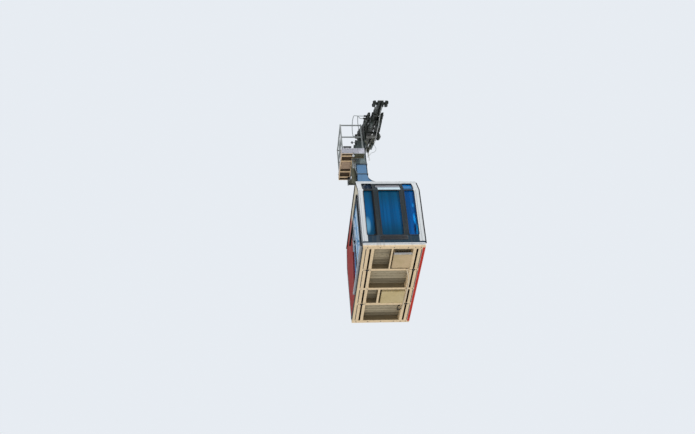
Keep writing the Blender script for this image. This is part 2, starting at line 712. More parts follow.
def cabin_block(one, other, bevel=0.004):
    """A block whose corners' heights are from the underside of the floor."""
    return block(at_height(*one), at_height(*other), bevel)


def pocket(obj, normal, margin, depth):
    """Sinks (or raises, if depth is below zero) a panel in the faces that look along normal."""
    edit(obj)
    pick_faces(obj, normal, 0.99)
    bpy.ops.mesh.inset(thickness=margin)
    push(Vector(normal) * -depth)
    return leave(obj)


def facing(point, normal):
    """Matrix that stands a fitting on a surface at a point, its Z along the surface's normal."""
    return Matrix.Translation(point) @ Vector(normal).to_track_quat("Z", "Y").to_matrix().to_4x4()


def rod(start, end, radius, sides=20, lip=0.12):
    """A round bar between two points with chamfered ends."""
    start, end = Vector(start), Vector(end)
    deselect()
    bpy.ops.mesh.primitive_cylinder_add(vertices=sides, radius=radius, depth=(end - start).length)
    obj = bpy.context.object
    edit(obj)
    for way in (UP, DOWN):
        pick_faces(obj, way)
        bpy.ops.mesh.inset(thickness=radius * lip, depth=radius * lip)
    leave(obj).matrix_world = facing((start + end) / 2, end - start)
    return settled(obj)


def ring(centre, axis, major, minor, segments=32, sides=10):
    """A round ring about an axis."""
    deselect()
    bpy.ops.mesh.primitive_torus_add(major_segments=segments, minor_segments=sides, major_radius=major,
                                     minor_radius=minor)
    bpy.context.object.matrix_world = facing(centre, axis)
    return settled(bpy.context.object)


def bolt(radius):
    """A hexagon head on a washer with a short thread end, standing on the XY plane."""
    deselect()
    bpy.ops.mesh.primitive_cylinder_add(vertices=6, radius=radius, depth=radius * 0.9, location=(0, 0, radius * 0.7))
    head = settled(bpy.context.object)
    edit(head)
    pick_faces(head, UP)
    bpy.ops.mesh.inset(thickness=radius * 0.35)
    push((0, 0, radius * 0.35))
    deselect()
    bpy.ops.mesh.primitive_cylinder_add(vertices=12, radius=radius * 1.45, depth=radius * 0.3,
                                        location=(0, 0, radius * 0.15))
    return join([head, settled(bpy.context.object)])


def rivet(radius):
    """A low round head standing on the XY plane."""
    deselect()
    bpy.ops.mesh.primitive_uv_sphere_add(segments=10, ring_count=6, radius=radius)
    obj = bpy.context.object
    edit(obj, action="SELECT")
    bpy.ops.mesh.bisect(plane_co=(0, 0, 0), plane_no=UP, clear_inner=True, use_fill=True)
    leave(obj).scale = (1, 1, 0.55)
    return settled(obj)


def join(parts):
    """One object from a list of objects; a single object comes back as it is."""
    if not isinstance(parts, list):
        return parts
    deselect()
    for obj in parts:
        obj.select_set(True)
    bpy.context.view_layer.objects.active = parts[0]
    if len(parts) > 1:
        bpy.ops.object.join()
    return bpy.context.object


def repeat(model, matrices):
    """Copies a model to each matrix, joins the copies and drops the model."""
    copies = [copied(model, matrix) for matrix in matrices]
    bpy.data.objects.remove(model)
    return join(copies)


def row(model, points, way):
    """Copies of a fastener at several points of a surface that looks one way."""
    return repeat(model, [facing(point, way) for point in points])


def circle(count, radius):
    """Points evenly round a circle."""
    turns = [2 * pi * i / count for i in range(count)]
    return [(radius * cos(turn), radius * sin(turn)) for turn in turns]


def box_corners(x0, x1, y0, y1):
    """Corners in the order of a plane's vertices."""
    return [(x0, y0), (x1, y0), (x0, y1), (x1, y1)]


def pane_frame(corners, radius, band, depth, face):
    """A flat frame of one width round a four-cornered outline, standing on the XY plane of a face."""
    deselect()
    bpy.ops.mesh.primitive_plane_add(size=1)
    obj = bpy.context.object
    for vertex, corner in zip(obj.data.vertices, corners):
        vertex.co = (*corner, 0)
    edit(obj, "VERT", "SELECT")
    bpy.ops.mesh.bevel(offset=radius, segments=6, affect="VERTICES")
    bpy.ops.mesh.select_mode(type="FACE")
    bpy.ops.mesh.select_all(action="SELECT")
    bpy.ops.mesh.inset(thickness=band)
    bpy.ops.mesh.delete(type="FACE")
    bpy.ops.mesh.select_all(action="SELECT")
    push((0, 0, depth))
    bpy.ops.mesh.select_all(action="SELECT")
    bpy.ops.mesh.normals_make_consistent(inside=False)
    leave(obj).matrix_world = face
    return settled(obj)


def pipe(points, radius, sides=6):
    """A bent round pipe along a few points, as a mesh."""
    curve = bpy.data.curves.new("pipe", "CURVE")
    curve.dimensions = "3D"
    line = curve.splines.new("NURBS")
    line.points.add(len(points) - 1)
    for knot, point in zip(line.points, points):
        knot.co = (*point, 1.0)
    line.order_u = 3
    line.use_endpoint_u = True
    curve.bevel_depth = radius
    curve.bevel_resolution = sides // 2
    curve.use_fill_caps = True
    obj = bpy.data.objects.new("pipe", curve)
    bpy.context.scene.collection.objects.link(obj)
    only(obj)
    bpy.ops.object.convert(target="MESH")
    return bpy.context.object


def mirror_y(obj):
    """A mirrored copy of obj for the far end."""
    copy = copied(obj, Matrix.Scale(-1, 4, ALONG))
    edit(copy, action="SELECT")
    bpy.ops.mesh.normals_make_consistent(inside=False)
    return leave(copy)


def place(parts, name, finish, body="cabin", on_rope=False):
    """Names a piece, puts it in its frame, gives it its finish and fixes it to its body."""
    obj = join(parts)
    only(obj)
    if on_rope:
        moved(obj, ROPE)
    bpy.ops.object.shade_smooth_by_angle(angle=SMOOTH_ANGLE)
    obj.name = name
    obj.data.name = name
    obj.data.materials.clear()
    obj.data.materials.append(MATERIALS[finish])
    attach(obj, body)


def rope_place(parts, name, finish, body="carriage"):
    """Places a piece that is made in the carriage's own frame."""
    place(parts, name, finish, body, on_rope=True)


def both_ends(parts, name, finish):
    """Places a piece at the near end of the cabin and its mirror image at the far one."""
    near = join(parts)
    far = mirror_y(near)
    place(near, f"{name}_near", finish)
    place(far, f"{name}_far", finish)


# ---- stage


class CABIN_OT_stage(Operator):
    """Add the camera, the floor and the light"""

    bl_idname = "cabin.stage"
    bl_label = "Stage"

    def execute(self, context):
        scene = context.scene
        stage = scene.cabin_stage
        turn = Matrix.Rotation(stage.yaw, 3, "Z") @ Matrix.Rotation(pi / 2 + stage.pitch, 3, "X")
        turn = turn @ Matrix.Rotation(stage.roll, 3, "Z")
        lens = bpy.data.cameras.new("camera")
        lens.sensor_fit = "HORIZONTAL"
        lens.sensor_width = 36.0
        lens.lens = lens.sensor_width * stage.focal_px / stage.picture_w
        lens.clip_end = 500.0
        eye = bpy.data.objects.new("camera", lens)
        eye.matrix_world = Matrix.Translation(stage.eye) @ turn.to_4x4()
        scene.collection.objects.link(eye)
        scene.camera = eye

        deselect()
        bpy.ops.mesh.primitive_circle_add(vertices=96, radius=160.0, fill_type="NGON",
                                          location=(0, 0, stage.eye[2] - stage.floor_drop))
        floor = context.object
        floor.name = "floor"
        pale = Finish("floor_pale", Roughness=0.8)
        cloud = pale.ramp(pale.noise(pale.vector, 0.4, 2.0), 0.3, 0.7)
        pale.feed(pale.shader.inputs["Base Color"], pale.blend(cloud, (0.78, 0.79, 0.80), (0.80, 0.81, 0.82)))
        floor.data.materials.append(pale.material)

        for name, strength, spread, way in (
            ("key", stage.key, 6.0, (-0.62, 0.48, -0.62)),
            ("fill", stage.fill, 50.0, (0.10, -0.45, 0.88)),
        ):
            sun = bpy.data.lights.new(name, "SUN")
            sun.energy = strength
            sun.angle = radians(spread)
            lamp = bpy.data.objects.new(name, sun)
            lamp.rotation_mode = "QUATERNION"
            lamp.rotation_quaternion = Vector(way).to_track_quat("-Z", "Y")
            scene.collection.objects.link(lamp)

        scene.world = bpy.data.worlds.new("soft light")
        scene.world.use_nodes = True
        light = Graph(scene.world.node_tree)
        rays = light.node("ShaderNodeLightPath").outputs
        seen = light.most(rays["Is Camera Ray"], rays["Is Transmission Ray"], rays["Is Glossy Ray"])
        power = light.node("ShaderNodeMapRange", {"Value": seen, "To Min": stage.sky, "To Max": 1.0})
        light.fill(light.tree.nodes["Background"].inputs, {
            "Color": light.blend(seen, (1.0, 1.0, 1.0), (0.80, 0.84, 0.89)), "Strength": power.outputs["Result"],
        })
        scene.view_settings.view_transform = "Standard"
        return {"FINISHED"}


class CABIN_OT_finishes(Operator):
    """Give every frame piece its finish"""

    bl_idname = "cabin.finishes"
    bl_label = "Finishes"

    def execute(self, context):
        make_finishes(context.scene.cabin_colours)
        for name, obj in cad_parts.items():
            finish = NODE_FINISH.get(name, "dull" if "wheel" in name else "carriage")
            obj.data.materials.clear()
            obj.data.materials.append(MATERIALS[finish])
        return {"FINISHED"}


# ---- cabin


def wall_face(x, z, side):
    """Matrix whose XY plane is the outside of a side wall, its X along the wall."""
    return Matrix.Translation((x, 0, z)) @ Euler((pi / 2, 0, side * pi / 2)).to_matrix().to_4x4()


END_FACE = Matrix.Translation((0, -HALF_L, FLOOR)) @ Matrix.Rotation(pi / 2, 4, "X")
SLOPE_FACE = Matrix.Translation((0, -HALF_L, FLOOR + KINK)) @ Matrix.Rotation(pi / 2 - SLOPE, 4, "X")


class CABIN_OT_seals(Operator):
    """Add the rubber seals round the panes"""

    bl_idname = "cabin.seals"
    bl_label = "Window seals"

    def execute(self, context):
        sizes = context.scene.cabin_sizes
        lap, round_r = 0.012, 0.06

        def seal(x0, x1, y0, y1, face, radius=round_r, depth=sizes.seal_t):
            """A seal that laps a pane's edge all round."""
            return pane_frame(box_corners(x0 - lap, x1 + lap, y0 - lap, y1 + lap), radius, sizes.seal_w, depth, face)

        ends = [seal(*span, *PANE_H, END_FACE) for span in PANE_X]
        ends += [seal(*PANE_X[i], *BAND_S, SLOPE_FACE) for i in (0, 2)]
        ends.append(seal(-SIGN_HALF, SIGN_HALF, *SLOT_S, SLOPE_FACE, 0.02))
        both_ends(ends, "seals_end", "rubber")
        pitch, width = 1.0475, 0.9575
        panes = [((i - 1.5) * pitch - width / 2, (i - 1.5) * pitch + width / 2) for i in range(4)]
        right = [seal(y0, y1, 0.98, 2.13, wall_face(HALF_W, FLOOR, 1)) for y0, y1 in panes]
        place(right, "seals_side_right", "rubber")
        outline = [(-0.87, 0.248), (0.535, 0.248), (-0.052, 2.162), (0.535, 2.162)]
        left = pane_frame(outline, round_r, sizes.seal_w, sizes.seal_t, wall_face(-HALF_W, FLOOR, -1))
        place(left, "seals_side_left", "rubber")
        low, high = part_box("door_glass")
        leaf = wall_face(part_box("door_leaf")[0].x, 0, -1)
        place(seal(-high.y, -low.y, low.z, high.z, leaf, depth=0.005), "seals_door", "rubber", "door")
        return {"FINISHED"}


class CABIN_OT_end_fittings(Operator):
    """Add pillar mouldings, corner strips, the blank sign box and the lower louvre on both ends"""

    bl_idname = "cabin.end_fittings"
    bl_label = "End fittings"

    def execute(self, context):
        y = -HALF_L
        mouldings, strips = [], []
        for side in SIDES:
            mouldings.append(cabin_block((side * 0.905, y - 0.010, 0.215), (side * 0.945, y + 0.002, KINK - 0.02)))
            wall, edge = side * HALF_W, side * (HALF_W + (0.040 if side > 0 else 0.009))
            strips.append(cabin_block((wall, y + 0.004, 0.135), (edge, y + 0.050, KINK - 0.005)))
            strips.append(moved(block((wall, 0.0, -0.050), (edge, 0.675, -0.004)), SLOPE_FACE))
        both_ends(mouldings, "pillar_mouldings", "white")

        channel = pocket(cabin_block((-0.555, y - 0.022, 0.47), (-0.512, y + 0.002, KINK - 0.03)), NEAR, 0.009, 0.008)
        foot = cabin_block((-0.620, y - 0.018, 0.452), (-0.512, y + 0.002, 0.478))
        panel = pocket(cabin_block((-0.44, y - 0.012, 0.258), (0.46, y + 0.002, 0.418), 0.006), NEAR, 0.014, 0.008)
        slat = cabin_block((-0.42, y - 0.011, 0.284), (0.44, y - 0.003, 0.292), 0.002)
        both_ends([panel, repeat(slat, [Matrix.Translation((0, 0, 0.022 * i)) for i in range(5)])], "louvre", "grille")
        slot = block((-0.415, SLOT_S[0] - 0.03, -0.16), (0.415, SLOT_S[1] + 0.03, -0.083))
        slot = moved(pocket(slot, UP, 0.012, 0.03), SLOPE_FACE)
        both_ends([channel, foot, slot, *strips], "end_trims", "void")
        cap = block((-HALF_W, 0.640, -0.020), (HALF_W, 0.686, 0.016), 0.012)
        both_ends(moved(cap, SLOPE_FACE), "roof_edge", "white")

        pale = pocket(block((-0.345, 0.006, -0.004), (0.400, 0.196, 0.010)), UP, 0.012, 0.003)
        grey = [block((-0.400, 0.210, -0.004), (0.400, 0.372, 0.008))]
        grey += [block((-0.385, up, 0.006), (0.385, up + 0.018, 0.016)) for up in (0.235, 0.300)]
        both_ends(moved(pale, SLOPE_FACE), "blank_sign_pale", "pale")
        both_ends(moved(join(grey), SLOPE_FACE), "blank_sign_grey", "grey")
        lip = cabin_block((-HALF_W + 0.01, y - 0.016, 0.100), (HALF_W - 0.01, y + 0.01, 0.135), 0.015)
        both_ends(lip, "bumper", "white")
        return {"FINISHED"}


class CABIN_OT_side_trims(Operator):
    """Add gutters, skirt rivets, the corner rib and door fittings"""

    bl_idname = "cabin.side_trims"
    bl_label = "Side trims"

    def execute(self, context):
        rivet_row = 4.2
        count = int(rivet_row / context.scene.cabin_sizes.rivet_pitch)
        for name, side, heights in (("left", -1, (0.055,)), ("right", 1, (0.055, 0.84))):
            gutter = cabin_block((side * HALF_W, -1.86, 2.86), (side * (HALF_W + 0.028), 1.86, 2.895))
            place(pocket(gutter, UP, 0.006, 0.016), f"gutter_{name}", "void")
            points = [at_height(side * HALF_W, -rivet_row / 2 + i * rivet_row / (count - 1), height)
                      for height in heights for i in range(count)]
            place(row(rivet(0.010), points, (side, 0, 0)), f"skirt_rivets_{name}", "steel")
        rub = cabin_block((HALF_W, -2.2, 0.855), (HALF_W + 0.012, 2.2, 0.885), 0.005)
        place(pocket(rub, RIGHT, 0.008, 0.003), "rub_rail_right", "rubber")
        rib = cabin_block((-HALF_W - 0.008, -2.150, 0.215), (-HALF_W + 0.001, -2.082, 2.185))
        place(pocket(rib, LEFT, 0.010, 0.003), "corner_rib_left", "aluminium")

        low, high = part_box("door_lock")
        middle = (low + high) / 2
        x, y, z = low.x, middle.y, middle.z
        bar = block((x - 0.016, y - 0.010, z - 0.026), (x, y + 0.010, z + 0.026))
        place([ring((x - 0.004, y, z), RIGHT, 0.026, 0.008), bar], "lock_grip", "bright", "door")
        leaf_x, grip_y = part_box("door_leaf")[0].x, -1.05

        def on_leaf(out, along, height):
            """World point by its distance out of the door leaf, from the grip's middle and above the underside."""
            return leaf_x - out, grip_y + along, FLOOR + height

        def leaf_block(one, other, bevel=0.004):
            """A block between two points on the leaf."""
            return block(on_leaf(*one), on_leaf(*other), bevel)

        bar = leaf_block((0.036, -0.026, 1.13), (0.012, 0.026, 2.10), 0.008)
        feet = [leaf_block((0.016, -0.018, up), (-0.001, 0.018, up + 0.06)) for up in (1.16, 1.58, 2.02)]
        place([bar, *feet], "door_bar", "aluminium", "door")
        grip = moved(ring((0, 0, 0), ALONG, 0.046, 0.013, 36),
                     Matrix.Translation(on_leaf(0.052, 0, 1.02)) @ Matrix.Diagonal((1, 1, 1.9, 1)))
        arm = leaf_block((0.030, -0.016, 0.985), (-0.001, 0.016, 1.015))
        place([grip, arm], "door_grip", "bright", "door")
        latch = leaf_block((0.088, -0.020, 1.035), (0.018, 0.016, 1.105), 0.012)
        place(pocket(latch, NEAR, 0.014, 0.005), "door_latch", "rubber", "door")
        route = [(0.024, 0, 0.94), (0.022, 0.05, 0.88), (0.014, 0.12, 0.78), (0.012, 0.14, 0.60), (0.012, 0.15, 0.26)]
        foot = leaf_block((0.024, 0.125, 0.225), (-0.001, 0.175, 0.275))
        place([pipe([on_leaf(*point) for point in route], 0.011), foot], "door_rod", "rubber", "door")
        low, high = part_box("door_track")
        ends = [block((low.x, y, low.z), (-HALF_W, y + 0.012, high.z), 0.003) for y in (low.y - 0.012, high.y)]
        place(ends, "track_ends", "rubber")
        return {"FINISHED"}


class CABIN_OT_roof_fittings(Operator):
    """Add the hatch furniture, lifting eyes, beam bolts and roof ribs"""

    bl_idname = "cabin.roof_fittings"
    bl_label = "Roof fittings"

    def execute(self, context):
        top, beam_top = ROOF_TOP + 0.045, ROOF_TOP + 0.10
        rim = pocket(cabin_block((-0.27, 1.11, top - 0.002), (0.27, 1.59, top + 0.012), 0.006), UP, 0.03, 0.006)
        hinges = [rod(at_height(x - 0.05, 1.635, top + 0.006), at_height(x + 0.05, 1.635, top + 0.006), 0.014)
                  for x in (-0.18, 0.18)]
        place([rim, *hinges], "hatch_lid", "roof")
        bow = ((-0.07, 0), (-0.07, 0.05), (-0.05, 0.06), (0.05, 0.06), (0.07, 0.05), (0.07, 0))
        place(pipe([at_height(x, 1.14, top + up) for x, up in bow], 0.008), "hatch_handle", "steel")
        eyes = [ring(at_height(x, y, top), ALONG, 0.036, 0.011) for x in (-0.85, 0.85) for y in (-1.6, 1.6)]
        place(eyes, "lifting_eyes", "steel")
        points = [at_height(x, y, beam_top) for x in (-0.58, -0.485, 0.485, 0.58)
                  for y in (-1.55, -0.76, -0.64, 0.64, 0.76, 1.55)]
        place(row(bolt(context.scene.cabin_sizes.bolt_r), points, UP), "roof_beam_bolts", "steel")
        ribs = [cabin_block((x - 0.012, -1.85, ROOF_TOP - 0.002), (x + 0.012, 1.85, ROOF_TOP + 0.014))
                for x in (-0.78, 0.78, -0.93, 0.93)]
        place(ribs, "roof_ribs", "roof")
        return {"FINISHED"}


class CABIN_OT_underside(Operator):
    """Add the clamps, conduit, ring, bolts and tray rims below the floor"""

    bl_idname = "cabin.underside"
    bl_label = "Underside"

    def execute(self, context):
        sizes = context.scene.cabin_sizes
        clamps = []
        for y in (CROSS_YS[0], CROSS_YS[2]):
            for x in (-RAIL_X, RAIL_X):
                clamps.append(cabin_block((x - 0.056, y - 0.020, -0.020), (x + 0.056, y + 0.020, 0.004)))
                clamps.append(cabin_block((x - 0.024, y - 0.046, -0.018), (x + 0.024, y + 0.046, 0.030)))
        place(clamps, "rail_clamps", "rubber")
        route = [(0.545, -1.00, 0.004), (0.548, -0.95, -0.020), (0.575, -0.82, -0.024), (0.645, -0.58, -0.024),
                 (0.686, -0.32, -0.024), (0.690, 0.06, -0.024), (0.684, 0.45, -0.024), (0.664, 0.82, -0.024),
                 (0.655, 1.20, -0.024), (0.648, 1.38, -0.020), (0.646, 1.42, 0.004)]
        place(pipe([at_height(*point) for point in route], sizes.conduit_r, 10), "floor_conduit", "cream")
        clips = [cabin_block((x - 0.030, y - 0.010, -0.049), (x + 0.030, y + 0.010, 0.001), 0.006)
                 for x, y in zip((0.550, 0.688, 0.658), CROSS_YS)]
        place(clips, "conduit_clips", "cream")
        lean = Matrix.Rotation(radians(123), 4, "X") @ Matrix.Rotation(radians(-45), 4, "Z")
        eye = moved(ring((0, 0, 0), UP, 0.066, 0.013, 40),
                    Matrix.Translation(at_height(0.575, 1.33, 0.03)) @ lean @ Matrix.Diagonal((1, 1.7, 1, 1)))
        stem = rod(at_height(0.575, 1.385, 0.115), at_height(0.575, 1.40, 0.20), 0.014)
        place([eye, stem], "tether_ring", "rubber")
        points = [at_height(x, y, 0.0) for y in (-2.175, 2.175) for x in (-0.86, -0.45, 0.0, 0.45, 0.68, 0.86)]
        points += [at_height(x, y, 0.0) for y in CROSS_YS for x in (-0.86, -0.65, 0.65, 0.86)]
        place(row(bolt(sizes.bolt_r * 0.9), points, DOWN), "underframe_bolts", "steel")

        face = Matrix.Translation((0, 0, FLOOR + TRAY_LOW)) @ Matrix.Rotation(pi, 4, "X")
        rims = [pane_frame(box_corners(x0 + 0.006, x1 - 0.006, -y1 + 0.006, -y0 - 0.006), 0.02, 0.018, 0.004, face)
                for x0, x1, y0, y1 in TRAYS]
        place(rims, "tray_rims", "tray")
        points = []
        for x0, x1, y0, y1 in ((0.05, 0.60, -1.805, -1.105), (-0.12, 0.60, 0.31, 0.96)):
            x, y = (x0 + x1) / 2, (y0 + y1) / 2
            points += [at_height(*spot, TRAY_LOW) for spot in (
                (x0, y0), (x0, y), (x0, y1), (x, y0), (x, y1), (x1, y0), (x1, y), (x1, y1),
            )]
        place(row(rivet(0.011), points, DOWN), "tray_rivets", "steel")
        return {"FINISHED"}


class CABIN_OT_interior(Operator):
    """Add the floor mat and the ceiling panel"""

    bl_idname = "cabin.interior"
    bl_label = "Interior"

    def execute(self, context):
        mat = cabin_block((-0.80, -2.05, 0.2305), (0.80, 2.05, 0.242))
        place(pocket(mat, UP, 0.03, 0.003), "floor_mat", "mat")
        panel = cabin_block((-0.60, -1.60, 2.835), (0.60, 1.60, 2.8698), 0.006)
        place(pocket(panel, DOWN, 0.05, 0.010), "ceiling_panel", "white")
        return {"FINISHED"}


# ---- hanger and platform


class CABIN_OT_hanger_fittings(Operator):
    """Add bands, bolts, covers, valves and a conduit on the hanger"""

    bl_idname = "cabin.hanger_fittings"
    bl_label = "Hanger fittings"

    def execute(self, context):
        low, high = ARM_X
        bands = [block((low - 0.010, side * ARM_Y, z - half), (high + 0.010, side * (ARM_Y - 0.0055), z + half), 0.002)
                 for z, half in ((COLLAR_Z, 0.021), (-2.110, 0.009)) for side in SIDES]
        place(bands, "collar_bands", "collar")
        bolts = [row(bolt(0.010), [(low + 0.03 + i * 0.061, side * ARM_Y, COLLAR_Z) for i in range(6)], (0, side, 0))
                 for side in SIDES]
        place(bolts, "collar_bolts", "steel")
        points = [PIVOT + Vector((-0.500, y, z)) for y, z in circle(12, 0.175)]
        place(row(bolt(0.011), points, LEFT), "drum_bolts", "steel")
        rims = [ring(PIVOT + Vector((x, 0, 0)), RIGHT, major, minor, 64, 8)
                for x, major, minor in ((-0.312, 0.448, 0.010), (-0.483, 0.216, 0.008))]
        place(rims, "drum_rims", "drum")
        cover = block((low - 0.012, -0.10, -2.95), (low + 0.001, 0.10, -2.70))
        place(pocket(cover, LEFT, 0.016, -0.004), "hanger_cover", "hanger")
        points = [(low - 0.012, y, z) for y in (-0.085, 0.085) for z in (-2.935, -2.825, -2.715)]
        place(row(rivet(0.010), points, LEFT), "hanger_cover_screws", "steel")
        x = low - 0.030
        line = pipe([(x, 0.15, -1.54), (x, 0.15, -1.75), (x, 0.14, -2.20), (x, 0.12, -2.80), (x, 0.12, -3.40),
                     (x + 0.02, 0.16, -3.60), (x + 0.09, 0.20, -3.72)], 0.013)
        clips = [block((low - 0.046, 0.105, z), (low, 0.170, z + 0.022)) for z in (-1.75, -2.05, -2.45)]
        place([line, *clips], "hanger_conduit", "rubber")
        valves = [pocket(block((-0.640, -0.165, -0.640), (-0.545, -0.040, -0.500), 0.008), LEFT, 0.018, 0.006),
                  pocket(block((-0.700, -0.150, -0.860), (-0.600, -0.030, -0.700), 0.008), LEFT, 0.018, 0.006),
                  rod((-0.600, -0.10, -0.500), (-0.600, -0.10, -0.440), 0.026, 16),
                  pipe([(-0.600, -0.10, -0.640), (-0.610, -0.12, -0.690), (-0.650, -0.12, -0.700)], 0.012)]
        place(valves, "head_valves", "drum")
        gussets = [block((side * 0.612, -0.190, -3.645), (side * 0.628, -0.150, -3.40)) for side in SIDES]
        gussets += [block((x, -0.188, -3.655), (x + 0.016, -0.150, -3.42)) for x in (-0.628, -0.44, 0.42, 0.612)]
        gussets += [block((x, -0.205, -3.659), (x + 0.255, 0.205, -3.641), 0.003) for x in (-0.66, 0.405)]
        place(gussets, "foot_gussets", "hanger")
        return {"FINISHED"}


class CABIN_OT_platform_fittings(Operator):
    """Add post feet, the toe bar, lamps, sensor, struts and the winch's small parts"""

    bl_idname = "cabin.platform_fittings"
    bl_label = "Platform fittings"

    def execute(self, context):
        posts = [(-1.175, -0.555), (-0.445, -0.555), (-1.175, 0.14), (-1.175, 0.835), (-0.865, 0.835)]
        feet = [rod((x, y, -1.4195), (x, y, -1.406), 0.041, 18) for x, y in posts]
        feet += [ring((x, y, -0.690), UP, 0.026, 0.007, 20, 6) for x, y in posts]
        place(feet, "post_feet", "rails")
        place([rod((x, y, -0.135), (x, y, -0.101), 0.0285, 18, 0.3) for x, y in posts], "post_caps", "rails")
        bar = rod((-1.14, -0.612, -1.205), (-0.86, -0.612, -1.205), 0.030, 16)
        arms = [block((x, -0.622, -1.262), (x + 0.022, -0.599, -1.205)) for x in (-1.10, -0.92)]
        place([bar, *arms], "toe_bar", "rubber")
        lamp = rod((-0.862, 0.800, -1.512), (-0.862, 0.700, -1.552), 0.046, 24, 0.18)
        edit(lamp)
        pick_faces(lamp, Vector((0, -0.100, -0.040)).normalized(), 0.98)
        bpy.ops.mesh.inset(thickness=0.006)
        push((0, 0.022, 0.009))
        hook = block((-0.876, 0.745, -1.515), (-0.848, 0.775, -1.455))
        place([lamp, hook], "platform_lamp", "rubber")
        place(rod((-0.800, -0.520, -1.500), (-0.800, -0.535, -1.552), 0.044, 24, 0.35), "platform_light", "white")
        struts = []
        for y0, y1 in ((-0.30, -0.12), (0.80, 0.15)):
            struts.append(rod((-0.84, y0, -1.495), (-0.668, y1, -2.02), 0.014, 14))
            struts.append(block((-0.676, y1 - 0.045, -2.075), (ARM_X[0], y1 + 0.045, -1.975)))
        place(struts, "platform_struts", "rails")
        stalk = rod((-0.540, -0.100, -0.550), (-0.795, -0.100, -0.550), 0.008, 12)
        disc = rod((-0.742, -0.100, -0.590), (-0.742, -0.100, -0.510), 0.026, 18)
        place([stalk, disc], "sensor_arm", "rubber")
        panel = block((-1.185, -0.135, -1.507), (-0.855, 0.235, -1.470))
        place(pocket(panel, DOWN, 0.03, 0.005), "platform_panel", "brown")
        brackets = [block((x0, -0.100, -1.745), (x1, -0.081, -1.395), 0.006)
                    for x0, x1 in ((-0.800, -0.752), (-0.712, -0.680))]
        brackets.append(block((-0.800, -0.097, -1.580), (-0.680, -0.083, -1.545)))
        place(brackets, "winch_brackets", "white")
        coils = [ring((-0.770, 0, z), UP, 0.087, 0.010, 40, 8) for z in (-1.90, -1.95, -2.12, -2.17, -2.22)]
        coils.append(block((-0.835, -0.090, -1.470), (-0.700, -0.078, -1.270), 0.010))
        place(coils, "winch_coils", "winch")
        front = [(x, -0.600, z) for x in (-1.17, -0.99, -0.81, -0.63, -0.45) for z in TOE_HEIGHTS]
        outer = [(-1.22, y, z) for y in (-0.5, -0.2, 0.14, 0.48, 0.82) for z in TOE_HEIGHTS]
        place([row(bolt(0.009), front, NEAR), row(bolt(0.009), outer, LEFT)], "toe_board_bolts", "steel")
        return {"FINISHED"}


# ---- carriage, in its own frame


def lower_edge(t):
    """Height of a side beam's lower edge at a place along the rope."""
    return 0.04 - max(0.0, 1.0 - abs(t)) / 0.75 * 0.1297


def upper_edge(t):
    """Height of a side beam's upper edge at a place along the rope."""
    return BEAM_TOP - max(0.0, abs(t) - 0.35) / 1.15 * 0.165


